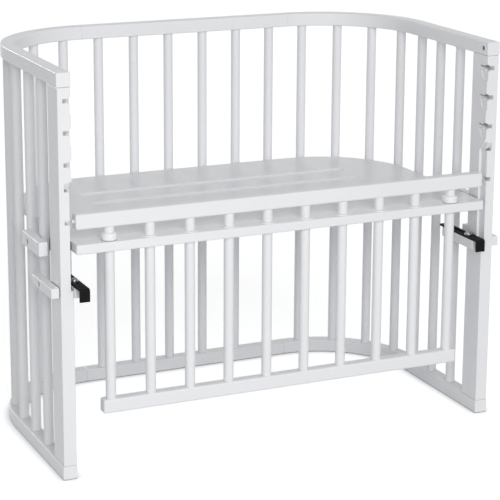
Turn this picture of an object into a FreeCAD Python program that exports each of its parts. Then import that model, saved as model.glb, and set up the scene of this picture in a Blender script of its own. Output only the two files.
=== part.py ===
"""Bedside sleeper crib: a barred beech frame that is open towards the parents' bed.

Two horizontal rings with rounded back corners are joined by round bars and by two front posts.
A bed board with a guide rail is clamped to the bars.  A low gate slides up and down through the
guide rail and latches in notches of the posts.  Two hooks on batten clamps hold the crib against
the big bed.

Lengths are in millimetres.  X runs across the open front, Y runs from the front to the back and
Z runs up from the floor.  Heights are counted from the floor and setbacks from the front faces of
the posts.  The origin is the middle of the underside of the whole part's box.
"""
import FreeCAD
import Part
import Sketcher
import math
import os

os.makedirs("parts", exist_ok=True)
doc = FreeCAD.newDocument("bedside_sleeper_crib")
Vector = FreeCAD.Vector

# ---------------------------------------------------------------------------------------------
# Driving dimensions
# ---------------------------------------------------------------------------------------------

DIMENSIONS = [
    # rings and bars of the frame
    ("frame_width", 940.0, "outside width over both rings"),
    ("frame_depth", 540.0, "from the post fronts to the back of the rings"),
    ("frame_height", 790.0, "floor to the top of the upper ring"),
    ("ring_width", 28.0, "width of a ring's section, seen from above"),
    ("ring_height", 28.0, "height of a ring's section"),
    ("ring_edge_round", 2.5, "rounding along the ring's long edges"),
    ("ring_end_round", 2.0, "rounding round the ring's front ends"),
    ("seam_bevel", 1.2, "bevel at the ring's glued joints"),
    ("corner_radius", 230.0, "outer radius of the two back corners"),
    ("bar_diameter", 20.0, "round bars of the frame"),
    ("bar_socket", 12.0, "depth of a bar's seat in a ring"),
    ("back_bar_count", 6, "bars along the straight back"),
    ("side_bar_count", 7, "bars along each corner and side"),
    ("front_bar_setback", 129.3, "foremost side bar behind the post's front"),
    # posts
    ("post_width", 26.0, "post, across the front"),
    ("post_depth", 58.0, "post, front to back"),
    ("post_inset", 1.5, "how far the post stands back from the ring's outer side"),
    ("post_edge_round", 1.8, "edges of the post"),
    ("notch_count", 3, "notches for the raised gate"),
    ("notch_drop", 25.0, "uppermost notch below the upper ring"),
    ("notch_pitch", 60.0, "spacing of the notches"),
    ("notch_height", 8.0, "clear height of a notch and of the pin slot"),
    ("notch_reach", 28.0, "depth of a notch's upper edge from the post's front"),
    ("notch_rake", 8.0, "how much shorter a notch's lower edge is"),
    ("notch_cut", 16.0, "how far a notch enters the post from its inner side"),
    ("notch_lip_rise", 4.5, "slope above the mouth on the inner side"),
    ("notch_lip_drop", 4.5, "slope below the mouth on the inner side"),
    ("notch_lip_run", 8.0, "length of the slopes on the inner side"),
    ("notch_lip_depth", 13.0, "slopes on the inner side, front to back"),
    ("slot_reach", 16.0, "depth of the pin slot from the post's front"),
    ("scoop_height", 22.0, "height of the shallow scoop below a notch"),
    ("scoop_depth", 2.0, "how deep the scoop enters the post"),
    ("scoop_reach_top", 23.0, "scoop behind the post's front, at its top"),
    ("scoop_reach_low", 9.0, "scoop behind the post's front, at its lower end"),
    ("scoop_curve", 30.0, "curve of the scoop's rear edge"),
    ("rebate_below", 132.0, "post's inner rebate below the pin slot"),
    ("rebate_above", 78.0, "post's inner rebate above the pin slot"),
    ("rebate_cut", 6.0, "rebate, across the front"),
    ("rebate_reach", 20.0, "rebate, front to back"),
    ("rebate_ramp", 19.0, "slope at the rebate's upper end"),
    ("lead_in_height", 17.0, "wider cut in the rebate's upper end"),
    ("lead_in_reach", 11.0, "wider cut, front to back"),
    # fittings that tie the posts to the rings
    ("barrel_diameter", 10.0, "cross barrel in an end of the upper ring"),
    ("barrel_bore_depth", 14.0, "bore of the cross barrel"),
    ("barrel_sink", 2.5, "barrel below the ring's inner side"),
    ("barrel_setback", 18.0, "barrel behind the post's front"),
    ("tie_diameter", 6.0, "tie bolt between ring and post"),
    ("tie_reach", 17.0, "tie bolt inside the post"),
    ("foot_head_diameter", 12.0, "head of the bolt from below into a post, across"),
    ("foot_head_height", 5.0, "head of the bolt from below into a post, along the bolt"),
    ("foot_head_sink", 3.0, "head above the underside of the lower ring"),
    # bed board
    ("board_top", 465.0, "height of the sleeping surface"),
    ("board_thickness", 16.0, "bed board"),
    ("board_gap", 7.0, "between the board's edge and the bars"),
    ("board_edge_round", 1.5, "rounding of the board's upper edge"),
    ("board_slot_length", 620.0, "air slot, tip to tip"),
    ("board_slot_width", 22.0, "width of an air slot"),
    ("board_slot_point", 18.0, "length of an air slot's pointed end"),
    ("board_slot_setback", 282.0, "first air slot behind the post's front"),
    ("board_slot_pitch", 79.0, "spacing of the two air slots"),
    # guide rail in front of the board
    ("guide_depth", 45.0, "guide rail, front to back"),
    ("guide_height", 19.0, "guide rail, top to bottom"),
    ("guide_proud", 10.0, "guide rail in front of the posts"),
    ("guide_end_gap", 3.5, "guide rail to post"),
    ("guide_corner_round", 3.5, "front corners of the guide rail"),
    ("guide_edge_round", 2.5, "long edges of the guide rail"),
    ("bushing_clearance", 0.05, "radial play of a gate bar in its bushing"),
    ("bushing_wall", 2.0, "wall of a bushing's sleeve"),
    ("flange_diameter", 30.0, "flange of a bushing, across"),
    ("flange_thickness", 1.5, "thickness of a bushing's flange"),
    ("collar_diameter", 31.0, "collar round an end bar, across"),
    ("collar_height", 15.0, "collar round an end bar, above the guide rail"),
    ("collar_round", 5.0, "rounded top of a collar"),
    ("collar_foot_round", 3.0, "rounded lower edge of a collar"),
    # gate
    ("gate_setback", 8.0, "middle of the gate behind the post's front"),
    ("gate_rail_depth", 24.0, "both gate rails, front to back"),
    ("gate_rail_round", 4.0, "long edges of the gate rails"),
    ("gate_bar_count", 10, "bars of the gate"),
    ("gate_bar_margin", 69.0, "end bar's middle to the end of the upper gate rail"),
    ("gate_bar_diameter", 20.0, "bars of the gate"),
    ("gate_bar_socket", 14.0, "depth of a gate bar's seat"),
    ("gate_top_play", 12.0, "upper gate rail above the collars, gate down"),
    ("gate_top_height", 30.0, "upper gate rail"),
    ("gate_end_gap", 4.5, "upper gate rail to post"),
    ("gate_bottom_middle", 137.5, "middle of the lower gate rail, gate down"),
    ("gate_bottom_height", 28.0, "lower gate rail"),
    ("gate_bottom_end", 18.5, "lower gate rail past its last bar"),
    ("pin_diameter", 6.8, "latch pin, across"),
    ("pin_length", 30.0, "latch pin"),
    ("pin_clearance", 0.05, "radial play of a latch pin"),
    ("pin_bore", 31.0, "bore of a latch pin in the gate rail"),
    ("pin_post_gap", 0.4, "drawn-back pin to post"),
    # batten clamps, shared sizes
    ("clamp_gap", 0.3, "play between a batten and what it clamps"),
    ("batten_round", 2.0, "edges of the battens"),
    ("clamp_bolt_diameter", 6.0, "bolt through a pair of battens"),
    ("clamp_head_diameter", 10.0, "bolt head, across"),
    ("clamp_head_height", 4.0, "bolt head, along the bolt"),
    ("clamp_head_room", 1.0, "counterbore round the bolt head"),
    ("clamp_head_sink", 3.0, "bolt head below the batten's face"),
    ("clamp_head_socket", 5.0, "hexagon socket across its corners"),
    ("clamp_head_recess", 2.5, "depth of the hexagon socket"),
    ("clamp_bolt_grip", 15.0, "bolt inside the inner batten"),
    # batten clamps that carry the bed board
    ("bed_batten_ahead", 51.3, "board's battens in front of the foremost side bar"),
    ("bed_batten_length", 106.0, "board's battens, front to back"),
    ("bed_batten_height", 28.0, "board's battens, top to bottom"),
    ("bed_batten_thickness", 18.2, "board's outer batten, across the front"),
    ("bed_ledger_thickness", 21.7, "board's inner batten, across the front"),
    ("bed_batten_rise", 4.0, "outer batten above the board's underside"),
    ("bed_bolt_behind", 20.7, "board's clamp bolt behind the foremost side bar"),
    ("bed_bolt_rise", 13.0, "board's clamp bolt above the outer batten's lower edge"),
    # batten clamps that carry the hooks
    ("hook_batten_front", 5.0, "front end of the hook's outer batten"),
    ("hook_batten_overlap", 2.7, "back end of the hook's battens past the side bar's front"),
    ("hook_batten_height", 20.0, "hook's battens, top to bottom"),
    ("hook_batten_thickness", 17.0, "hook's outer batten, across the front"),
    ("hook_drop", 39.0, "hook's outer batten below the board's inner batten"),
    ("hook_ledger_drop", 2.0, "inner batten below the outer one"),
    ("hook_ledger_thickness", 22.0, "hook's inner batten, across the front"),
    ("hook_bolt_behind", 22.0, "hook's clamp bolt behind the post's back"),
    ("hook_bolt_rise", 10.0, "hook's clamp bolt above the outer batten's lower edge"),
    # steel hooks
    ("strap_width", 20.0, "width of the hook strap"),
    ("strap_thickness", 4.0, "thickness of the hook strap"),
    ("strap_play", 0.3, "play below and above the strap"),
    ("strap_side_gap", 1.7, "strap to the inner batten's outer side"),
    ("strap_length", 150.0, "hook strap, front to back"),
    ("strap_out_right", 17.0, "right hook in front of the posts"),
    ("strap_out_left", 28.0, "left hook in front of the posts"),
    ("lip_drop", 25.0, "height of the bent-down lip"),
    ("lip_bend", 5.0, "outer radius of the bend"),
    ("strap_slot_start", 44.0, "front end of the strap's slot behind the lip"),
    ("strap_slot_length", 75.0, "slot in the strap, end to end"),
    ("strap_slot_width", 8.0, "width of the slot in the strap"),
    ("strap_screw_setback", 33.0, "strap's screw behind the post's front"),
    ("strap_screw_diameter", 6.0, "shaft of the strap's screw, across"),
    ("strap_screw_depth", 14.0, "strap's screw inside the batten"),
    ("strap_head_diameter", 11.0, "head of the strap's screw, across"),
    ("strap_head_height", 3.5, "head of the strap's screw, along it"),
    ("washer_diameter", 17.0, "washer on the strap, across"),
    ("washer_thickness", 1.5, "thickness of the washer"),
]

sheet = doc.addObject("Spreadsheet::Sheet", "Dims")
for row, (alias, number, note) in enumerate(DIMENSIONS, start=1):
    sheet.set("A%d" % row, alias)
    sheet.set("B%d" % row, "%g" % number)
    sheet.set("C%d" % row, note)
    sheet.setAlias("B%d" % row, alias)
doc.recompute()


class Size:
    """A length known both as a formula of the sheet's cells and as its present number."""

    def __init__(self, text, number):
        self.text = text
        self.number = number

    def joined(self, sign, other, number):
        return Size("(%s %s %s)" % (self.text, sign, other.text), number)

    def __add__(self, other):
        other = size(other)
        return self.joined("+", other, self.number + other.number)

    def __sub__(self, other):
        other = size(other)
        return self.joined("-", other, self.number - other.number)

    def __mul__(self, other):
        other = size(other)
        return self.joined("*", other, self.number * other.number)

    def __truediv__(self, other):
        other = size(other)
        return self.joined("/", other, self.number / other.number)

    def __neg__(self):
        return size(0) - self

    __radd__ = __add__
    __rmul__ = __mul__


def size(value):
    """A plain number as a Size; a Size is returned as it is."""
    if isinstance(value, Size):
        return value
    return Size("%.10g" % value, float(value))


def cell(alias):
    """The sheet's cell of that name."""
    return Size("Dims." + alias, float(sheet.get(alias)))


def larger(first, second):
    return Size("max(%s, %s)" % (first.text, second.text), max(first.number, second.number))


def sine(angle):
    """Sine of an angle in radians."""
    return Size("sin(%s * 180 / pi)" % angle.text, math.sin(angle.number))


def cosine(angle):
    """Cosine of an angle in radians."""
    return Size("cos(%s * 180 / pi)" % angle.text, math.cos(angle.number))


# ---------------------------------------------------------------------------------------------
# Levels and faces that several pieces share
# ---------------------------------------------------------------------------------------------

ZERO = size(0)
OVERCUT = size(1)          # how far a cut starts outside the face that it opens
STRAP_OUT = {1: cell("strap_out_right"), -1: cell("strap_out_left")}

FRONT_Y = -(cell("frame_depth") - larger(STRAP_OUT[1], STRAP_OUT[-1])) / 2

RING_OUT = cell("frame_width") / 2
RING_IN = RING_OUT - cell("ring_width")
RING_BACK = cell("frame_depth")
RING_LINE = RING_OUT - cell("ring_width") / 2
RING_LOW_TOP = cell("ring_height")
RING_HIGH = cell("frame_height") - cell("ring_height")
CORNER_X = RING_OUT - cell("corner_radius")
CORNER_Y = RING_BACK - cell("corner_radius")
LINE_RADIUS = cell("corner_radius") - cell("ring_width") / 2
INNER_RADIUS = cell("corner_radius") - cell("ring_width")

BAR_R = cell("bar_diameter") / 2
FRONT_BAR = cell("front_bar_setback")
POST_OUT = RING_OUT - cell("post_inset")
POST_IN = POST_OUT - cell("post_width")
BARS_OUT = RING_LINE + BAR_R
BARS_IN = RING_LINE - BAR_R

BOARD_UNDER = cell("board_top") - cell("board_thickness")
GUIDE_FRONT = -cell("guide_proud")
GUIDE_BACK = GUIDE_FRONT + cell("guide_depth")
GUIDE_UNDER = cell("board_top") - cell("guide_height")

GATE_Y = cell("gate_setback")
GATE_TOP_UNDER = cell("board_top") + cell("collar_height") + cell("gate_top_play")
GATE_TOP_MIDDLE = GATE_TOP_UNDER + cell("gate_top_height") / 2
GATE_BAR_R = cell("gate_bar_diameter") / 2
GATE_LOW_UNDER = cell("gate_bottom_middle") - cell("gate_bottom_height") / 2
GATE_LOW_TOP = cell("gate_bottom_middle") + cell("gate_bottom_height") / 2
GATE_HALF = POST_IN - cell("gate_end_gap")
SLEEVE_R = GATE_BAR_R + cell("bushing_clearance") + cell("bushing_wall")

BED_OUTER_LOW = BOARD_UNDER + cell("bed_batten_rise") - cell("bed_batten_height")
BED_LEDGER_LOW = BOARD_UNDER - cell("bed_batten_height")
BED_OUTER_IN = BARS_OUT + cell("clamp_gap")
BED_LEDGER_OUT = BARS_IN - cell("clamp_gap")
BED_FRONT = FRONT_BAR - cell("bed_batten_ahead")

HOOK_OUTER_IN = POST_OUT + cell("clamp_gap")
HOOK_LEDGER_OUT = POST_IN - cell("clamp_gap")
HOOK_OUTER_LOW = BED_LEDGER_LOW - cell("hook_drop") - cell("hook_batten_height")
HOOK_LEDGER_LOW = HOOK_OUTER_LOW - cell("hook_ledger_drop")
HOOK_BACK = FRONT_BAR - BAR_R + cell("hook_batten_overlap")
HOOK_LEDGER_TOP = HOOK_LEDGER_LOW + cell("hook_batten_height")
STRAP_UNDER = HOOK_LEDGER_TOP + cell("strap_play")
STRAP_TOP = STRAP_UNDER + cell("strap_thickness")
STRAP_OUTER = HOOK_LEDGER_OUT - cell("strap_side_gap")
STRAP_MIDDLE = STRAP_OUTER - cell("strap_width") / 2


def notch_height_at(index):
    """Middle of a notch above the floor, counted from the top."""
    return RING_HIGH - cell("notch_drop") - cell("notch_pitch") * index


# ---------------------------------------------------------------------------------------------
# Helpers
# ---------------------------------------------------------------------------------------------

subparts = []


def keep(obj, label):
    """Name an object as one of the part's pieces."""
    obj.Label = label
    subparts.append(obj)
    return obj


def bind(obj, prop, value):
    obj.setExpression(prop, size(value).text)


def bind_place(obj, x, y, z):
    """Bind an object's position; setbacks are counted from the front of the posts."""
    bind(obj, "Placement.Base.x", x)
    bind(obj, "Placement.Base.y", FRONT_Y + y)
    bind(obj, "Placement.Base.z", z)


def new_body(label):
    """An empty body whose own Y starts at the front of the posts."""
    body = doc.addObject("PartDesign::Body", "body_" + label)
    body.Label = "body of " + label
    bind_place(body, ZERO, ZERO, ZERO)
    return body


def origin_plane(body, role):
    for feature in body.Origin.OriginFeatures:
        if feature.Role == role:
            return feature
    raise ValueError("no plane " + role)


def arc_points(start, end, radius, turn):
    """Middle point of the short arc between two points; turn is +1 to the left, -1 to the right."""
    chord = end - start
    half = chord.Length / 2
    rise = radius - math.sqrt(max(radius * radius - half * half, 0.0))
    side = Vector(chord.y, -chord.x, 0)
    side.normalize()
    return (start + end) / 2 + side * rise * turn


def outline(body, name, plane, offset, corners):
    """A closed, fully constrained sketch.

    Each corner is (x, y), or (x, y, radius, turn) where the edge to the next corner is an arc.
    """
    sketch = body.newObject("Sketcher::SketchObject", name)
    sketch.AttachmentSupport = [(origin_plane(body, plane), "")]
    sketch.MapMode = "FlatFace"
    bind(sketch, "AttachmentOffset.Base.z", offset)
    corners = [(size(c[0]), size(c[1])) + tuple(c[2:]) for c in corners]
    count = len(corners)
    points = [Vector(c[0].number, c[1].number, 0) for c in corners]
    for i, corner in enumerate(corners):
        start = points[i]
        end = points[(i + 1) % count]
        if len(corner) == 2:
            sketch.addGeometry(Part.LineSegment(start, end), False)
        else:
            middle = arc_points(start, end, size(corner[2]).number, corner[3])
            sketch.addGeometry(Part.Arc(start, middle, end), False)
    ends = []
    for i in range(count):
        # an arc is stored counter-clockwise, so its first point can be the later corner
        first = sketch.getPoint(i, 1)
        ends.append((1, 2) if first.distanceToPoint(points[i]) < 1e-6 else (2, 1))
    for i, corner in enumerate(corners):
        after = (i + 1) % count
        sketch.addConstraint(Sketcher.Constraint("Coincident", i, ends[i][1], after, ends[after][0]))
        for kind, value in (("DistanceX", corner[0]), ("DistanceY", corner[1])):
            index = sketch.addConstraint(Sketcher.Constraint(kind, -1, 1, i, ends[i][0], value.number))
            sketch.setExpression("Constraints[%d]" % index, value.text)
        if len(corner) > 2:
            radius = size(corner[2])
            index = sketch.addConstraint(Sketcher.Constraint("Radius", i, radius.number))
            sketch.setExpression("Constraints[%d]" % index, radius.text)
    return sketch


def pad(body, sketch, length):
    feature = body.newObject("PartDesign::Pad", "pad_" + sketch.Name)
    feature.Profile = sketch
    bind(feature, "Length", length)
    doc.recompute()
    return feature


def pocket(body, sketch, length, along_normal):
    """Cut a sketch into the body, and make sure that the cut met it."""
    before = body.Shape.Volume
    feature = body.newObject("PartDesign::Pocket", "pocket_" + sketch.Name)
    feature.Profile = sketch
    feature.Reversed = along_normal
    bind(feature, "Length", length)
    doc.recompute()
    if not body.Shape.Volume < before - 1e-6:
        raise ValueError("the cut %s misses its piece" % sketch.Name)
    return feature


def edges_where(shape, test):
    """Names of the edges that pass a test of their box."""
    return ["Edge%d" % (i + 1) for i, edge in enumerate(shape.Edges) if test(edge.BoundBox)]


def round_edges(body, test, radius):
    """Round the edges of a body's last feature that pass a test."""
    last = body.Tip
    names = edges_where(last.Shape, test)
    feature = body.newObject("PartDesign::Fillet", "round_" + last.Name)
    feature.Base = (last, names)
    bind(feature, "Radius", radius)
    doc.recompute()
    return feature


def bevel_edges(body, test, width):
    """Bevel the edges of a body's last feature that pass a test."""
    last = body.Tip
    names = edges_where(last.Shape, test)
    feature = body.newObject("PartDesign::Chamfer", "bevel_" + last.Name)
    feature.Base = (last, names)
    bind(feature, "Size", width)
    doc.recompute()
    return feature


def block(label, low, high, radius, test=None):
    """A rectangular piece between two corners with rounded edges."""
    body = new_body(label)
    corners = [(low[0], low[1]), (high[0], low[1]), (high[0], high[1]), (low[0], high[1])]
    sketch = outline(body, "plan_" + label, "XY_Plane", low[2], corners)
    pad(body, sketch, size(high[2]) - low[2])
    round_edges(body, test or (lambda box: True), radius)
    return body


def upright(name, x, y, low, height, radius):
    """A vertical cylinder."""
    cylinder = doc.addObject("Part::Cylinder", name)
    bind(cylinder, "Radius", radius)
    bind(cylinder, "Height", height)
    bind_place(cylinder, x, y, low)
    return cylinder


def crosswise(name, x, y, z, length, radius):
    """A cylinder along X that starts at x."""
    cylinder = doc.addObject("Part::Cylinder", name)
    cylinder.Placement.Rotation = FreeCAD.Rotation(Vector(0, 1, 0), 90)
    bind(cylinder, "Radius", radius)
    bind(cylinder, "Height", length)
    bind_place(cylinder, x, y, z)
    return cylinder


def group(name, objects):
    compound = doc.addObject("Part::Compound", name)
    compound.Links = objects
    return compound


def cut(name, base, tools):
    """The base with the tools' room taken out."""
    feature = doc.addObject("Part::Cut", name)
    feature.Base = base
    feature.Tool = tools[0] if len(tools) == 1 else group(name + "_tools", tools)
    return feature


def fuse(name, first, second):
    feature = doc.addObject("Part::Fuse", name)
    feature.Base = first
    feature.Tool = second
    return feature


def mirrored(name, source):
    """The left-hand twin of a right-hand piece."""
    feature = doc.addObject("Part::Mirroring", name)
    feature.Source = source
    feature.Normal = Vector(1, 0, 0)
    feature.Base = Vector(0, 0, 0)
    return feature


# ---------------------------------------------------------------------------------------------
# Frame: bars, rings and posts
# ---------------------------------------------------------------------------------------------

def side_bar_place(index):
    """Where a bar of the right-hand side stands, counted from the ring's joint at the back.

    The bars are evenly spaced along the ring, with half a space before the first.
    """
    bend = LINE_RADIUS * math.pi / 2
    pitch = (bend + CORNER_Y - FRONT_BAR) / (cell("side_bar_count") - 0.5)
    along = pitch * (index + 0.5)
    if along.number < bend.number:
        angle = along / LINE_RADIUS
        return CORNER_X + LINE_RADIUS * sine(angle), CORNER_Y + LINE_RADIUS * cosine(angle)
    return RING_LINE, CORNER_Y - (along - bend)


def make_frame_bars():
    """All upright bars of the frame, from the left front round to the right front."""
    count = int(cell("side_bar_count").number)
    back = int(cell("back_bar_count").number)
    places = []
    for i in reversed(range(count)):
        x, y = side_bar_place(i)
        places.append((-x, y))
    for i in range(back):
        x = CORNER_X * 2 / cell("back_bar_count") * (i - (back - 1) / 2)
        places.append((x, RING_BACK - cell("ring_width") / 2))
    for i in range(count):
        places.append(side_bar_place(i))
    low = RING_LOW_TOP - cell("bar_socket")
    height = RING_HIGH + cell("bar_socket") - low
    bars = []
    for i, (x, y) in enumerate(places):
        bar = upright("frame_bar_%02d" % (i + 1), x, y, low, height, BAR_R)
        bars.append(keep(bar, "frame_bar_%02d" % (i + 1)))
    return bars[:count], bars[count:count + back], bars[count + back:]


def make_top_tie():
    """The barrel and bolt between the upper ring's end and a post: their room and themselves."""
    barrel_r = cell("barrel_diameter") / 2
    middle = RING_HIGH + cell("ring_height") / 2
    x = RING_IN + cell("barrel_bore_depth") / 2
    y = cell("barrel_setback")
    bore = crosswise("top_tie_bore", RING_IN - OVERCUT, y, middle,
                     cell("barrel_bore_depth") + OVERCUT, barrel_r)
    barrel = crosswise("top_tie_barrel", RING_IN + cell("barrel_sink"), y, middle,
                       cell("barrel_bore_depth") - cell("barrel_sink"), barrel_r)
    length = cell("ring_height") / 2 + cell("tie_reach")
    bolt = upright("top_tie_bolt", x, y, middle - length, length, cell("tie_diameter") / 2)
    return [bore, bolt], fuse("top_tie", barrel, bolt)


def make_foot_tie():
    """The bolt from below through the lower ring into a post: its room and itself."""
    head_r = cell("foot_head_diameter") / 2
    x = RING_IN + cell("barrel_bore_depth") / 2
    y = cell("barrel_setback")
    sink = cell("foot_head_sink")
    head_top = sink + cell("foot_head_height")
    room = upright("foot_tie_room", x, y, -OVERCUT, head_top + OVERCUT, head_r)
    head = upright("foot_tie_head", x, y, sink, cell("foot_head_height"), head_r)
    shank = upright("foot_tie_shank", x, y, sink, RING_LOW_TOP + cell("tie_reach") - sink,
                    cell("tie_diameter") / 2)
    return [room, shank], fuse("foot_tie", head, shank)


def ring_back(label, low):
    """The straight back piece of a ring, as a body without its bar seats."""
    y0 = RING_BACK - cell("ring_width")
    high = low + cell("ring_height")
    body = block(label, (-CORNER_X, y0, low), (CORNER_X, RING_BACK, high), cell("ring_edge_round"),
                 lambda box: box.XLength > 1)
    bevel_edges(body, lambda box: box.XLength < 1e-6, cell("seam_bevel"))
    return body


def ring_side(label, low):
    """The right-hand corner and side of a ring, as a body without its bar seats."""
    body = new_body(label)
    corners = [
        (RING_OUT, ZERO),
        (RING_OUT, CORNER_Y, cell("corner_radius"), 1),
        (CORNER_X, RING_BACK),
        (CORNER_X, RING_BACK - cell("ring_width"), INNER_RADIUS, -1),
        (RING_IN, CORNER_Y),
        (RING_IN, ZERO),
    ]
    sketch = outline(body, "plan_" + label, "XY_Plane", low, corners)
    pad(body, sketch, cell("ring_height"))

    def lengthwise(box):
        return box.ZLength < 1e-6 and max(box.XLength, box.YLength) > cell("ring_width").number + 1
    round_edges(body, lengthwise, cell("ring_edge_round"))
    bevel_edges(body, lambda box: box.XMax < CORNER_X.number + 1e-3, cell("seam_bevel"))
    round_edges(body, lambda box: box.YMax < 1e-3, cell("ring_end_round"))
    return body


def make_rings(left_bars, back_bars, right_bars):
    """Both rings, each of a straight back and two bent sides, and the fittings in their ends."""
    rooms = {}
    fittings = []
    for level, low, make_tie in (("bottom", ZERO, make_foot_tie), ("top", RING_HIGH, make_top_tie)):
        back = cut(level + "_rail_back", ring_back(level + "_back", low), back_bars)
        keep(back, level + "_rail_back")
        room, fitting = make_tie()
        side = cut(level + "_rail_right", ring_side(level + "_side", low), right_bars + room)
        keep(side, level + "_rail_right")
        keep(mirrored(level + "_rail_left", side), level + "_rail_left")
        rooms[level] = room
        fittings += [fitting, mirrored(level + "_tie_left", fitting)]
    keep(group("frame_fasteners", fittings), "frame_fasteners")
    return rooms["bottom"] + rooms["top"]


def cut_notch(body, name, middle):
    """One notch: the pin's seat, the slopes of its mouth and the shallow scoop below it."""
    half = cell("notch_height") / 2
    upper = middle + half
    lower = middle - half
    corners = [
        (-OVERCUT, upper),
        (-OVERCUT, lower),
        (cell("notch_reach") - cell("notch_rake"), lower),
        (cell("notch_reach"), upper),
    ]
    pocket(body, outline(body, name, "YZ_Plane", POST_IN, corners), cell("notch_cut"), True)
    run = cell("notch_lip_run")
    corners = [
        (POST_IN - OVERCUT, upper + cell("notch_lip_rise")),
        (POST_IN, upper + cell("notch_lip_rise")),
        (POST_IN + run, upper),
        (POST_IN + run, lower),
        (POST_IN, lower - cell("notch_lip_drop")),
        (POST_IN - OVERCUT, lower - cell("notch_lip_drop")),
    ]
    pocket(body, outline(body, name + "_lips", "XZ_Plane", ZERO, corners), cell("notch_lip_depth"), False)
    low = lower - cell("scoop_height")
    corners = [
        (-OVERCUT, lower),
        (-OVERCUT, low),
        (cell("scoop_reach_low"), low, cell("scoop_curve"), 1),
        (cell("scoop_reach_top"), lower),
    ]
    pocket(body, outline(body, name + "_scoop", "YZ_Plane", POST_IN, corners), cell("scoop_depth"), True)


def make_posts(rooms):
    """The right-hand post with its notches, and the left-hand twin."""
    body = new_body("post")
    corners = [
        (POST_IN, ZERO),
        (POST_OUT, ZERO),
        (POST_OUT, cell("post_depth")),
        (POST_IN, cell("post_depth")),
    ]
    pad(body, outline(body, "post_plan", "XY_Plane", RING_LOW_TOP, corners), RING_HIGH - RING_LOW_TOP)
    round_edges(body, lambda box: True, cell("post_edge_round"))
    for i in range(int(cell("notch_count").number)):
        cut_notch(body, "notch_%d" % (i + 1), notch_height_at(i))
    bottom = GATE_TOP_MIDDLE - cell("rebate_below")
    top = GATE_TOP_MIDDLE + cell("rebate_above")
    ramp = top - cell("rebate_ramp")
    corners = [
        (-OVERCUT, bottom),
        (cell("rebate_reach"), bottom),
        (cell("rebate_reach"), ramp),
        (ZERO, top),
        (-OVERCUT, top),
    ]
    pocket(body, outline(body, "rebate", "YZ_Plane", POST_IN, corners), cell("rebate_cut"), True)
    corners = [
        (-OVERCUT, ramp),
        (cell("lead_in_reach"), ramp),
        (ZERO, ramp + cell("lead_in_height")),
        (-OVERCUT, ramp + cell("lead_in_height")),
    ]
    pocket(body, outline(body, "lead_in", "YZ_Plane", POST_IN, corners), cell("notch_cut"), True)
    half = cell("notch_height") / 2
    corners = [
        (-OVERCUT, GATE_TOP_MIDDLE - half),
        (cell("slot_reach"), GATE_TOP_MIDDLE - half),
        (cell("slot_reach"), GATE_TOP_MIDDLE + half),
        (-OVERCUT, GATE_TOP_MIDDLE + half),
    ]
    pocket(body, outline(body, "pin_slot", "YZ_Plane", POST_IN, corners), cell("notch_cut"), True)
    post = cut("post_right", body, rooms)
    keep(post, "post_right")
    keep(mirrored("post_left", post), "post_left")


# ---------------------------------------------------------------------------------------------
# Bed: board, guide rail and the clamps that carry them
# ---------------------------------------------------------------------------------------------

def slot_corners(middle):
    """Outline of an air slot with pointed ends, round its middle line."""
    half = cell("board_slot_width") / 2
    tip = cell("board_slot_length") / 2
    point = cell("board_slot_point")
    radius = (point * point + half * half) / (half * 2)
    return [
        (-tip, middle, radius, 1),
        (point - tip, middle - half),
        (tip - point, middle - half, radius, 1),
        (tip, middle, radius, 1),
        (tip - point, middle + half),
        (point - tip, middle + half, radius, 1),
    ]


def make_board():
    """The bed board: straight at the front, rounded like the rings at the back."""
    radius = LINE_RADIUS - BAR_R - cell("board_gap")
    side = CORNER_X + radius
    back = CORNER_Y + radius
    body = new_body("bed_board")
    corners = [
        (-side, GUIDE_BACK),
        (side, GUIDE_BACK),
        (side, CORNER_Y, radius, 1),
        (CORNER_X, back),
        (-CORNER_X, back, radius, 1),
        (-side, CORNER_Y),
    ]
    pad(body, outline(body, "board_plan", "XY_Plane", BOARD_UNDER, corners), cell("board_thickness"))
    top = cell("board_top").number
    round_edges(body, lambda box: box.ZMin > top - 1e-6, cell("board_edge_round"))
    for i in range(2):
        middle = cell("board_slot_setback") + cell("board_slot_pitch") * i
        sketch = outline(body, "air_slot_%d" % (i + 1), "XY_Plane", cell("board_top"), slot_corners(middle))
        pocket(body, sketch, cell("board_thickness"), False)
    keep(body, "bed_board")


def gate_bar_x(index):
    """Middle of a gate bar, counted from the left; the bars are evenly spaced."""
    pitch = (GATE_HALF - cell("gate_bar_margin")) * 2 / (cell("gate_bar_count") - 1)
    return pitch * (index - (cell("gate_bar_count").number - 1) / 2)


def turned_ring(name, bore, sections):
    """A turned plastic piece: stacked cylinders of (radius, low, height) with one bore."""
    x, y = bore[0], bore[1]
    pieces = [upright("%s_step_%d" % (name, i), x, y, low, height, radius)
              for i, (radius, low, height) in enumerate(sections)]
    solid = fuse(name + "_solid", pieces[0], pieces[1])
    low = sections[0][1]
    top = sections[1][1] + sections[1][2]
    hole = upright(name + "_hole", x, y, low - OVERCUT, top - low + OVERCUT + OVERCUT, bore[2])
    return cut(name, solid, [hole]), pieces[0]


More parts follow.
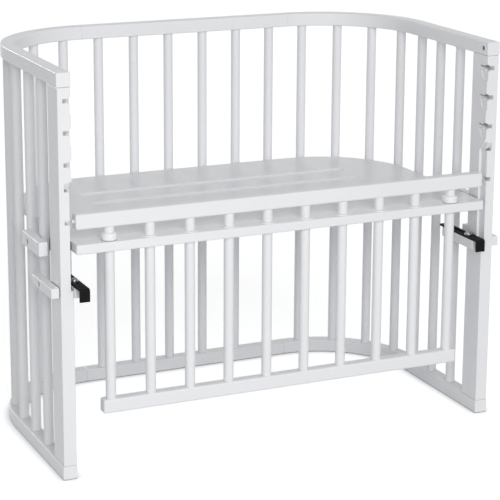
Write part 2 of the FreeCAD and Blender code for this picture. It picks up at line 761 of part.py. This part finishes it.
def make_guide():
    """The guide rail with its bushings and the two taller collars round the end bars."""
    half = POST_IN - cell("guide_end_gap")
    body = new_body("guide_rail")
    corner = cell("guide_corner_round")
    corners = [
        (corner - half, GUIDE_FRONT),
        (half - corner, GUIDE_FRONT, corner, 1),
        (half, GUIDE_FRONT + corner),
        (half, GUIDE_BACK),
        (-half, GUIDE_BACK),
        (-half, GUIDE_FRONT + corner, corner, 1),
    ]
    pad(body, outline(body, "guide_plan", "XY_Plane", GUIDE_UNDER, corners), cell("guide_height"))
    front_edge = GUIDE_BACK.number - 1e-3
    round_edges(body, lambda box: box.ZLength < 1e-6 and box.YMin < front_edge, cell("guide_edge_round"))

    count = int(cell("gate_bar_count").number)
    bore_r = GATE_BAR_R + cell("bushing_clearance")
    sleeves = []
    bushings = []
    collars = []
    for i in range(count):
        x = gate_bar_x(i)
        sleeve = (SLEEVE_R, GUIDE_UNDER, cell("guide_height"))
        if i in (0, count - 1):
            rim = (cell("collar_diameter") / 2, cell("board_top"), cell("collar_height"))
        else:
            rim = (cell("flange_diameter") / 2, cell("board_top"), cell("flange_thickness"))
        ring, tube = turned_ring("bushing_%02d" % (i + 1), (x, GATE_Y, bore_r), [sleeve, rim])
        sleeves.append(tube)
        if i in (0, count - 1):
            collars.append(ring)
        else:
            bushings.append(ring)
    keep(cut("guide_rail", body, sleeves), "guide_rail")
    keep(group("guide_bushings", bushings), "guide_bushings")
    doc.recompute()
    rounded = []
    for i, collar in enumerate(collars):
        foot = cell("board_top").number
        top = (cell("board_top") + cell("collar_height")).number
        outer = cell("collar_diameter").number - 0.1
        fillet = doc.addObject("Part::Fillet", "collar_%d" % (i + 1))
        fillet.Base = collar
        edges = []
        for height, alias in ((top, "collar_round"), (foot, "collar_foot_round")):
            radius = cell(alias).number
            for name in edges_where(collar.Shape, lambda box: box.XLength > outer
                                    and abs(box.ZMin - height) + abs(box.ZMax - height) < 1e-3):
                edges.append((int(name[4:]), radius, radius))
        fillet.Edges = edges
        rounded.append(fillet)
    keep(group("guide_collars", rounded), "guide_collars")


def socket_bolt(name, face, y, z, length):
    """A bolt along X with its head sunk below the face: its shank points inwards.

    Returns the room of its counterbore, its shank and the bolt itself.
    """
    head_r = cell("clamp_head_diameter") / 2
    seat = face - cell("clamp_head_sink") - cell("clamp_head_height")
    room = crosswise(name + "_room", seat, y, z, face - seat + OVERCUT, head_r + cell("clamp_head_room"))
    shank = crosswise(name + "_shank", seat - length, y, z, length, cell("clamp_bolt_diameter") / 2)
    head = crosswise(name + "_head", seat, y, z, cell("clamp_head_height"), head_r)
    hexagon = doc.addObject("Part::Prism", name + "_hexagon")
    hexagon.Polygon = 6
    hexagon.Placement.Rotation = FreeCAD.Rotation(Vector(0, 1, 0), 90)
    bind(hexagon, "Circumradius", cell("clamp_head_socket") / 2)
    bind(hexagon, "Height", cell("clamp_head_recess") + OVERCUT)
    bind_place(hexagon, seat + cell("clamp_head_height") - cell("clamp_head_recess"), y, z)
    return room, shank, cut(name, fuse(name + "_solid", shank, head), [hexagon])


def batten_pair(name, outer, ledger, bolt_y, bolt_z):
    """Two battens drawn together by one bolt; both are drilled by the bolt's own shank."""
    face = outer[1][0]
    seat = face - cell("clamp_head_sink") - cell("clamp_head_height")
    length = seat - ledger[1][0] + cell("clamp_bolt_grip")
    room, shank, bolt = socket_bolt(name + "_bolt", face, bolt_y, bolt_z, length)
    round_by = cell("batten_round")
    outer_block = block(name + "_outer_block", outer[0], outer[1], round_by)
    outer_body = cut(name + "_outer", outer_block, [room, shank])
    ledger_body = block(name + "_inner_block", ledger[0], ledger[1], round_by)
    return outer_body, ledger_body, shank, bolt


def make_bed_clamps():
    """Battens that pinch the side bars and carry the board on their inner halves."""
    y0 = BED_FRONT
    y1 = y0 + cell("bed_batten_length")
    height = cell("bed_batten_height")
    outer = ((BED_OUTER_IN, y0, BED_OUTER_LOW),
             (BED_OUTER_IN + cell("bed_batten_thickness"), y1, BED_OUTER_LOW + height))
    ledger = ((BED_LEDGER_OUT - cell("bed_ledger_thickness"), y0, BED_LEDGER_LOW),
              (BED_LEDGER_OUT, y1, BED_LEDGER_LOW + height))
    bolt_z = BED_OUTER_LOW + cell("bed_bolt_rise")
    outer_body, ledger_body, shank, bolt = batten_pair("bed_clamp", outer, ledger,
                                                       FRONT_BAR + cell("bed_bolt_behind"), bolt_z)
    ledger_cut = cut("bed_clamp_inner", ledger_body, [shank])
    keep(outer_body, "bed_outer_batten_right")
    keep(mirrored("bed_clamp_outer_left", outer_body), "bed_outer_batten_left")
    keep(ledger_cut, "bed_inner_batten_right")
    keep(mirrored("bed_clamp_inner_left", ledger_cut), "bed_inner_batten_left")
    keep(group("bed_clamp_bolts", [bolt, mirrored("bed_clamp_bolt_left", bolt)]), "bed_clamp_bolts")


# ---------------------------------------------------------------------------------------------
# Gate: two rails, ten bars and two latch pins
# ---------------------------------------------------------------------------------------------

def gate_rail(label, half, low, height):
    y0 = GATE_Y - cell("gate_rail_depth") / 2
    y1 = GATE_Y + cell("gate_rail_depth") / 2
    return block(label, (-half, y0, low), (half, y1, low + height), cell("gate_rail_round"))


def make_gate():
    low = GATE_LOW_TOP - cell("gate_bar_socket")
    height = GATE_TOP_UNDER + cell("gate_bar_socket") - low
    bars = []
    for i in range(int(cell("gate_bar_count").number)):
        bar = upright("gate_bar_%02d" % (i + 1), gate_bar_x(i), GATE_Y, low, height, GATE_BAR_R)
        bars.append(keep(bar, "gate_bar_%02d" % (i + 1)))

    pin_r = cell("pin_diameter") / 2
    middle = GATE_TOP_MIDDLE
    bore = crosswise("pin_bore", GATE_HALF - cell("pin_bore"), GATE_Y, middle,
                     cell("pin_bore") + OVERCUT, pin_r + cell("pin_clearance"))
    pin_end = POST_IN - cell("pin_post_gap")
    pin = crosswise("latch_pin_right", pin_end - cell("pin_length"), GATE_Y, middle,
                    cell("pin_length"), pin_r)
    keep(pin, "latch_pin_right")
    keep(mirrored("latch_pin_left", pin), "latch_pin_left")

    top = gate_rail("gate_top", GATE_HALF, GATE_TOP_UNDER, cell("gate_top_height"))
    keep(cut("gate_top_rail", top, bars + [bore, mirrored("pin_bore_left", bore)]), "gate_top_rail")
    last = gate_bar_x(int(cell("gate_bar_count").number) - 1)
    bottom = gate_rail("gate_bottom", last + cell("gate_bottom_end"), GATE_LOW_UNDER,
                       cell("gate_bottom_height"))
    keep(cut("gate_bottom_rail", bottom, bars), "gate_bottom_rail")


# ---------------------------------------------------------------------------------------------
# Hooks: batten clamps on the posts with a slotted steel strap each
# ---------------------------------------------------------------------------------------------

def make_strap():
    """The right-hand steel strap with its lip bent down and its long slot."""
    body = new_body("hook_strap")
    front = -STRAP_OUT[1]
    back = front + cell("strap_length")
    inner_r = cell("lip_bend") - cell("strap_thickness")
    lip_low = STRAP_TOP - cell("lip_drop")
    corners = [
        (front + cell("lip_bend"), STRAP_TOP, cell("lip_bend"), 1),
        (front, STRAP_TOP - cell("lip_bend")),
        (front, lip_low),
        (front + cell("strap_thickness"), lip_low),
        (front + cell("strap_thickness"), STRAP_UNDER - inner_r, inner_r, -1),
        (front + cell("lip_bend"), STRAP_UNDER),
        (back, STRAP_UNDER),
        (back, STRAP_TOP),
    ]
    pad(body, outline(body, "strap_side", "YZ_Plane", STRAP_OUTER - cell("strap_width"), corners),
        cell("strap_width"))
    half = cell("strap_slot_width") / 2
    first = front + cell("strap_slot_start")
    last = first + cell("strap_slot_length")
    corners = [
        (STRAP_MIDDLE - half, first + half, half, 1),
        (STRAP_MIDDLE, first, half, 1),
        (STRAP_MIDDLE + half, first + half),
        (STRAP_MIDDLE + half, last - half, half, 1),
        (STRAP_MIDDLE, last, half, 1),
        (STRAP_MIDDLE - half, last - half),
    ]
    sketch = outline(body, "strap_slot", "XY_Plane", STRAP_TOP, corners)
    pocket(body, sketch, cell("strap_thickness"), False)
    return body


def make_hooks():
    """Both hooks: battens round the post, their bolt, the strap and the strap's screw."""
    y1 = HOOK_BACK
    height = cell("hook_batten_height")
    low = HOOK_OUTER_LOW
    outer = ((HOOK_OUTER_IN, cell("hook_batten_front"), low),
             (HOOK_OUTER_IN + cell("hook_batten_thickness"), y1, low + height))
    ledger = ((HOOK_LEDGER_OUT - cell("hook_ledger_thickness"), ZERO, HOOK_LEDGER_LOW),
              (HOOK_LEDGER_OUT, y1, HOOK_LEDGER_TOP))
    outer_body, ledger_body, shank, bolt = batten_pair("hook_clamp", outer, ledger,
                                                       cell("post_depth") + cell("hook_bolt_behind"),
                                                       low + cell("hook_bolt_rise"))
    y = cell("strap_screw_setback")
    washer_low = STRAP_TOP + cell("strap_play")
    head_low = washer_low + cell("washer_thickness")
    screw_low = HOOK_LEDGER_TOP - cell("strap_screw_depth")
    shaft = upright("strap_screw_shaft", STRAP_MIDDLE, y, screw_low, head_low - screw_low,
                    cell("strap_screw_diameter") / 2)
    washer = upright("strap_washer", STRAP_MIDDLE, y, washer_low, cell("washer_thickness"),
                     cell("washer_diameter") / 2)
    head = upright("strap_screw_head", STRAP_MIDDLE, y, head_low, cell("strap_head_height"),
                   cell("strap_head_diameter") / 2)
    screw = fuse("strap_screw", fuse("strap_screw_collar", shaft, washer), head)
    ledger_cut = cut("hook_clamp_inner", ledger_body, [shank, shaft])
    strap = make_strap()
    for side, label in ((1, "right"), (-1, "left")):
        if side > 0:
            pieces = [outer_body, ledger_cut, bolt, screw, strap]
        else:
            pieces = [mirrored("left_" + piece.Name, piece)
                      for piece in (outer_body, ledger_cut, bolt, screw, strap)]
            bind(pieces[4], "Placement.Base.y", STRAP_OUT[1] - STRAP_OUT[-1])
        keep(pieces[0], "hook_outer_batten_" + label)
        keep(pieces[1], "hook_inner_batten_" + label)
        keep(group("hook_fasteners_" + label, [pieces[2], pieces[3]]), "hook_fasteners_" + label)
        keep(pieces[4], "hook_strap_" + label)


# ---------------------------------------------------------------------------------------------
# Build, check and write
# ---------------------------------------------------------------------------------------------

left_bars, back_bars, right_bars = make_frame_bars()
tie_rooms = make_rings(left_bars, back_bars, right_bars)
make_posts(tie_rooms)
make_board()
make_guide()
make_bed_clamps()
make_gate()
make_hooks()
doc.recompute()

for obj in doc.Objects:
    if "Invalid" in obj.State or "Error" in obj.State:
        raise ValueError("%s failed: %s" % (obj.Name, obj.State))
for piece in subparts:
    if piece.Shape.isNull() or not piece.Shape.isValid():
        raise ValueError("%s has no valid shape" % piece.Label)
for piece in subparts:
    piece.Shape.exportStep(os.path.join("parts", piece.Label + ".step"))

box = Part.makeCompound([piece.Shape for piece in subparts]).BoundBox
print("%d pieces, %.1f x %.1f x %.1f mm" % (len(subparts), box.XLength, box.YLength, box.ZLength))
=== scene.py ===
"""Bedside sleeper crib in white lacquered beech, on a pale floor in soft studio light.

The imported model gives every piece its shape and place; this script gives the pieces their
finishes and sets the floor, the light and the camera.  Lengths are in metres.
"""
import bpy
import math
from mathutils import Matrix, Vector

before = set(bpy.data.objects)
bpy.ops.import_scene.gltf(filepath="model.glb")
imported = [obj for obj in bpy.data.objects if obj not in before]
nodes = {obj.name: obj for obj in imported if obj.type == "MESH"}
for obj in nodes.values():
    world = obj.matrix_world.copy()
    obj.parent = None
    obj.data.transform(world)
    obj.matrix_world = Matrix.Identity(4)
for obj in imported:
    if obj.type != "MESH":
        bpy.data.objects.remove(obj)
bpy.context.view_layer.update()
scene = bpy.context.scene

# ---------------------------------------------------------------------------------------------
# Finishes
# ---------------------------------------------------------------------------------------------

# Sockets of a mix node set to colours, by number because their names aren't unique.
MIX_FIRST, MIX_SECOND, MIX_RESULT = 6, 7, 2

# Beech, in waves per metre: about 3 mm across the grain and 60 mm along it.
GRAIN_ACROSS = 330.0
GRAIN_ALONG = 16.0
# Painted shade: the lacquer's colour turns grey in narrow joints, bores and notches, where shade
# falls.
PAINTED_SHADE_REACH = 0.008          # painted shade: joints and bores narrower than this are drawn darker
PAINTED_SHADE_COLOUR = "#6F7072"
SHADE_SAMPLES = 8           # of the nodes that find joints and the floor near the object


def linear(hex_colour):
    """An sRGB hex colour as linear red, green, blue and alpha."""
    channels = []
    for i in (1, 3, 5):
        c = int(hex_colour[i:i + 2], 16) / 255
        channels.append(c / 12.92 if c <= 0.04045 else ((c + 0.055) / 1.055) ** 2.4)
    return tuple(channels) + (1.0,)


def new_finish(name):
    """An empty material with its principled shader and output joined."""
    finish = bpy.data.materials.new(name)
    finish.use_nodes = True
    tree = finish.node_tree
    return finish, tree, tree.nodes["Principled BSDF"]


def add(tree, kind, settings=(), inputs=()):
    """One node: its settings by name, and its inputs as values or as other nodes' sockets."""
    made = tree.nodes.new(kind)
    for name, value in dict(settings).items():
        setattr(made, name, value)
    for name, value in dict(inputs).items():
        if isinstance(value, bpy.types.NodeSocket):
            tree.links.new(value, made.inputs[name])
        else:
            made.inputs[name].default_value = value
    return made


def lacquered_beech(name, along, colours, roughness, gloss, grain):
    """White lacquered beech: planed or turned, sanded and sprayed with cover lacquer.

    The lacquer fills the pores, so the eye gets an even white with a silky sheen, and only a
    faint long ripple of the grain in the highlights.  along is the axis that the grain follows,
    colours the two whites that it drifts between, grain the height of its ripple.  The base
    colour turns grey in narrow joints and bores, as painted shade.
    """
    finish, tree, shader = new_finish(name)
    place = add(tree, "ShaderNodeTexCoord").outputs["Object"]
    stretch = [GRAIN_ACROSS] * 3
    stretch["XYZ".index(along)] = GRAIN_ALONG
    ripple = add(tree, "ShaderNodeMapping", inputs={"Vector": place, "Scale": stretch})
    fibre = add(tree, "ShaderNodeTexNoise", inputs={
        "Vector": ripple.outputs["Vector"], "Scale": 1.0, "Detail": 3.0, "Roughness": 0.55})
    broad = add(tree, "ShaderNodeTexNoise", inputs={
        "Vector": place, "Scale": 9.0, "Detail": 2.0, "Roughness": 0.5})
    tone = add(tree, "ShaderNodeMix", {"data_type": "RGBA"}, {"Factor": broad.outputs["Fac"]})
    tone.inputs[MIX_FIRST].default_value = linear(colours[0])
    tone.inputs[MIX_SECOND].default_value = linear(colours[1])
    bump = add(tree, "ShaderNodeBump", inputs={
        "Height": fibre.outputs["Fac"], "Strength": 0.35, "Distance": grain})
    # Painted shade: an occlusion mask blends the base colour towards a grey in narrow joints and
    # bores.
    painted_shade_ao = add(tree, "ShaderNodeAmbientOcclusion", {"samples": SHADE_SAMPLES}, {
        "Distance": PAINTED_SHADE_REACH})
    cover = add(tree, "ShaderNodeMapRange", inputs={
        "Value": painted_shade_ao.outputs["AO"], "From Min": 0.1, "From Max": 0.62})
    coat = add(tree, "ShaderNodeMix", {"data_type": "RGBA"}, {"Factor": cover.outputs["Result"]})
    coat.inputs[MIX_FIRST].default_value = linear(PAINTED_SHADE_COLOUR)
    tree.links.new(tone.outputs[MIX_RESULT], coat.inputs[MIX_SECOND])
    tree.links.new(coat.outputs[MIX_RESULT], shader.inputs["Base Color"])
    tree.links.new(bump.outputs["Normal"], shader.inputs["Normal"])
    shader.inputs["Roughness"].default_value = roughness
    shader.inputs["IOR"].default_value = 1.5
    shader.inputs["Specular IOR Level"].default_value = gloss
    return finish


def moulded_nylon(name):
    """White nylon, injection moulded: a fine satin skin, rougher than the lacquer."""
    finish, tree, shader = new_finish(name)
    place = add(tree, "ShaderNodeTexCoord").outputs["Object"]
    skin = add(tree, "ShaderNodeTexNoise", inputs={
        "Vector": place, "Scale": 1400.0, "Detail": 2.0, "Roughness": 0.5})
    bump = add(tree, "ShaderNodeBump", inputs={
        "Height": skin.outputs["Fac"], "Strength": 0.25, "Distance": 0.00008})
    shader.inputs["Base Color"].default_value = linear("#EDEEEF")
    tree.links.new(bump.outputs["Normal"], shader.inputs["Normal"])
    shader.inputs["Roughness"].default_value = 0.38
    shader.inputs["IOR"].default_value = 1.53
    return finish


def zinc_plated_steel(name, colour):
    """Zinc plated steel: a grey metal with a slightly clouded, drawn surface."""
    finish, tree, shader = new_finish(name)
    place = add(tree, "ShaderNodeTexCoord").outputs["Object"]
    cloud = add(tree, "ShaderNodeTexNoise", inputs={
        "Vector": place, "Scale": 260.0, "Detail": 4.0, "Roughness": 0.6})
    sheen = add(tree, "ShaderNodeMapRange", inputs={
        "Value": cloud.outputs["Fac"], "To Min": 0.22, "To Max": 0.42})
    shader.inputs["Base Color"].default_value = linear(colour)
    shader.inputs["Metallic"].default_value = 1.0
    tree.links.new(sheen.outputs["Result"], shader.inputs["Roughness"])
    return finish


def powder_coated_steel(name):
    """Black powder coat over bent strip steel: deep black and satin, with a fine orange peel."""
    finish, tree, shader = new_finish(name)
    place = add(tree, "ShaderNodeTexCoord").outputs["Object"]
    peel = add(tree, "ShaderNodeTexNoise", inputs={
        "Vector": place, "Scale": 700.0, "Detail": 2.0, "Roughness": 0.5})
    bump = add(tree, "ShaderNodeBump", inputs={
        "Height": peel.outputs["Fac"], "Strength": 0.4, "Distance": 0.0002})
    shader.inputs["Base Color"].default_value = linear("#0A0A0C")
    tree.links.new(bump.outputs["Normal"], shader.inputs["Normal"])
    shader.inputs["Roughness"].default_value = 0.55
    shader.inputs["IOR"].default_value = 1.5
    shader.inputs["Specular IOR Level"].default_value = 0.12
    return finish


# Frame, gate and battens: silky white cover lacquer on solid beech, along each piece.
beech = {
    axis: lacquered_beech("lacquered_beech_along_" + axis.lower(), axis, ("#ECEDEF", "#E8E9EB"),
                          roughness=0.3, gloss=0.25, grain=0.00012)
    for axis in "XYZ"}
# The bed board: a smoother and slightly glossier white lacquer.
board_lacquer = lacquered_beech("board_gloss_lacquer", "X", ("#E9EAED", "#E5E6E9"),
                                roughness=0.28, gloss=0.25, grain=0.00006)
nylon = moulded_nylon("white_nylon")                               # bushings, collars and pins
zinc = zinc_plated_steel("zinc_plated_steel", "#B9BCBE")           # the hooks' bolts and screws
shade_darkened_zinc = zinc_plated_steel("shade_darkened_zinc_plated_steel", "#5C5F63")  # bolts deep in their bores: zinc plated steel, its grey darkened as painted shade of the bores
black_coat = powder_coated_steel("black_powder_coat")              # the hooks' straps


def finish_of(name):
    """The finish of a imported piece, by its name."""
    if name in ("guide_bushings", "guide_collars", "latch_pin_left", "latch_pin_right"):
        return nylon
    if name.startswith("hook_strap"):
        return black_coat
    # Bolts sunk in bores get the zinc darkened as painted shade.
    if name in ("bed_clamp_bolts", "frame_fasteners"):
        return shade_darkened_zinc
    if name.startswith("hook_fasteners"):
        return zinc
    if name == "bed_board":
        return board_lacquer
    if name.startswith(("frame_bar", "gate_bar", "post")):
        return beech["Z"]
    if "batten" in name or name.endswith(("rail_left", "rail_right")):
        return beech["Y"]
    return beech["X"]


for name, piece in nodes.items():
    piece.data.materials.clear()
    piece.data.materials.append(finish_of(name))

# ---------------------------------------------------------------------------------------------
# Floor, light and camera
# ---------------------------------------------------------------------------------------------

FLOOR_SIZE = 60.0
PAINTED_CONTACT_SHADOW = 0.024      # how far the painted contact shadow reaches round what stands on it
PICTURE = 500               # width and height of the photograph, in pixels
SENSOR = 36.0               # width of the camera's sensor, in millimetres
VIEW_END = 200.0            # how far the camera sees


def seen_directly(tree):
    """1 for what the camera sees itself, in a mirror or through glass, else 0."""
    path = add(tree, "ShaderNodeLightPath")
    mirror = add(tree, "ShaderNodeMath", {"operation": "MAXIMUM"})
    tree.links.new(path.outputs["Is Camera Ray"], mirror.inputs[0])
    tree.links.new(path.outputs["Is Glossy Ray"], mirror.inputs[1])
    through = add(tree, "ShaderNodeMath", {"operation": "MAXIMUM"})
    tree.links.new(mirror.outputs[0], through.inputs[0])
    tree.links.new(path.outputs["Is Transmission Ray"], through.inputs[1])
    return through.outputs[0]


def make_floor(lift):
    """A pale matt floor; lift is the glow that takes its unshaded part to white.

    The glow fades close to whatever stands on the floor, a painted contact shadow.
    """
    bpy.ops.mesh.primitive_plane_add(size=FLOOR_SIZE)
    floor = bpy.context.object
    floor.name = "studio_floor"
    paint = bpy.data.materials.new("floor_paint")
    paint.use_nodes = True
    tree = paint.node_tree
    tree.nodes.remove(tree.nodes["Principled BSDF"])
    matt = add(tree, "ShaderNodeBsdfDiffuse", inputs={"Color": linear("#E0E1E2")})
    seen = seen_directly(tree)
    # Painted contact shadow: an occlusion mask lowers the floor's glow next to the object.
    near = add(tree, "ShaderNodeAmbientOcclusion", {"samples": SHADE_SAMPLES}, {
        "Distance": PAINTED_CONTACT_SHADOW})
    clear = add(tree, "ShaderNodeMapRange", inputs={
        "Value": near.outputs["AO"], "From Min": 0.25, "From Max": 0.95, "To Max": lift})
    level = add(tree, "ShaderNodeMath", {"operation": "MULTIPLY"})
    tree.links.new(seen, level.inputs[0])
    tree.links.new(clear.outputs["Result"], level.inputs[1])
    glow = add(tree, "ShaderNodeEmission", inputs={
        "Color": (1.0, 1.0, 1.0, 1.0), "Strength": level.outputs[0]})
    both = add(tree, "ShaderNodeAddShader")
    tree.links.new(matt.outputs[0], both.inputs[0])
    tree.links.new(glow.outputs[0], both.inputs[1])
    tree.links.new(both.outputs[0], tree.nodes["Material Output"].inputs["Surface"])
    floor.data.materials.append(paint)


def make_sky(level):
    """White where it is seen, and an even soft light of the given level on the object."""
    world = bpy.data.worlds.new("studio")
    scene.world = world
    world.use_nodes = True
    tree = world.node_tree
    background = tree.nodes["Background"]
    background.inputs["Color"].default_value = (1.0, 1.0, 1.0, 1.0)
    strength = add(tree, "ShaderNodeMapRange", inputs={"To Min": level, "To Max": 1.0})
    tree.links.new(seen_directly(tree), strength.inputs["Value"])
    tree.links.new(strength.outputs["Result"], background.inputs["Strength"])


def add_sun(name, azimuth, elevation, strength, spread):
    """A soft distant lamp.

    azimuth is where it stands, 0 in front and 90 to the right, and spread is the angle that it
    fills, both in degrees; strength is in watts per square metre.
    """
    lamp = bpy.data.lights.new(name, "SUN")
    lamp.energy = strength
    lamp.angle = math.radians(spread)
    holder = bpy.data.objects.new(name, lamp)
    scene.collection.objects.link(holder)
    a = math.radians(azimuth)
    e = math.radians(elevation)
    towards = Vector((math.sin(a) * math.cos(e), -math.cos(a) * math.cos(e), math.sin(e)))
    holder.rotation_mode = "QUATERNION"
    holder.rotation_quaternion = towards.to_track_quat("Z", "Y")


def add_softbox(name, place, aim, size, power):
    """A rectangular soft lamp near the object, itself unseen; power is in watts."""
    lamp = bpy.data.lights.new(name, "AREA")
    lamp.shape = "RECTANGLE"
    lamp.size, lamp.size_y = size
    lamp.energy = power
    holder = bpy.data.objects.new(name, lamp)
    scene.collection.objects.link(holder)
    holder.location = place
    holder.rotation_mode = "QUATERNION"
    holder.rotation_quaternion = (Vector(place) - Vector(aim)).to_track_quat("Z", "Y")
    holder.visible_camera = False


def make_camera(place, yaw, pitch, roll, focal_pixels, centre_row):
    """The photograph's camera: yaw to the right of +Y, pitch up and roll, in degrees.

    focal_pixels is the focal length in the picture's pixels, and centre_row the row of the
    picture that the lens looks straight at.
    """
    yaw, pitch, roll = (math.radians(angle) for angle in (yaw, pitch, roll))
    ahead = Vector((
        math.sin(yaw) * math.cos(pitch), math.cos(yaw) * math.cos(pitch), math.sin(pitch)))
    level_right = ahead.cross(Vector((0, 0, 1))).normalized()
    level_up = level_right.cross(ahead)
    right = level_right * math.cos(roll) + level_up * math.sin(roll)
    up = level_up * math.cos(roll) - level_right * math.sin(roll)
    data = bpy.data.cameras.new("view")
    data.sensor_width = SENSOR
    data.lens = focal_pixels * SENSOR / PICTURE
    data.shift_y = -(PICTURE / 2 - centre_row) / PICTURE
    data.clip_end = VIEW_END
    camera = bpy.data.objects.new("view", data)
    scene.collection.objects.link(camera)
    turn = Matrix((right, up, -ahead)).transposed().to_4x4()
    camera.matrix_world = Matrix.Translation(Vector(place)) @ turn
    scene.camera = camera


make_floor(lift=0.62)
make_sky(level=0.35)
add_sun("key", azimuth=-8, elevation=24, strength=1.2, spread=34)
add_softbox("fill", place=(-0.65, -1.9, 0.9), aim=(0.3, 0.0, 0.5), size=(0.8, 0.8), power=8)
add_sun("side", azimuth=105, elevation=14, strength=0.34, spread=50)
add_sun("rim", azimuth=-163, elevation=10, strength=0.62, spread=12)
make_camera(place=(-1.5090, -3.3900, 1.3726), yaw=24.475, pitch=-13.669, roll=0.324,
            focal_pixels=1838.9, centre_row=190)

scene.view_settings.view_transform = "Standard"
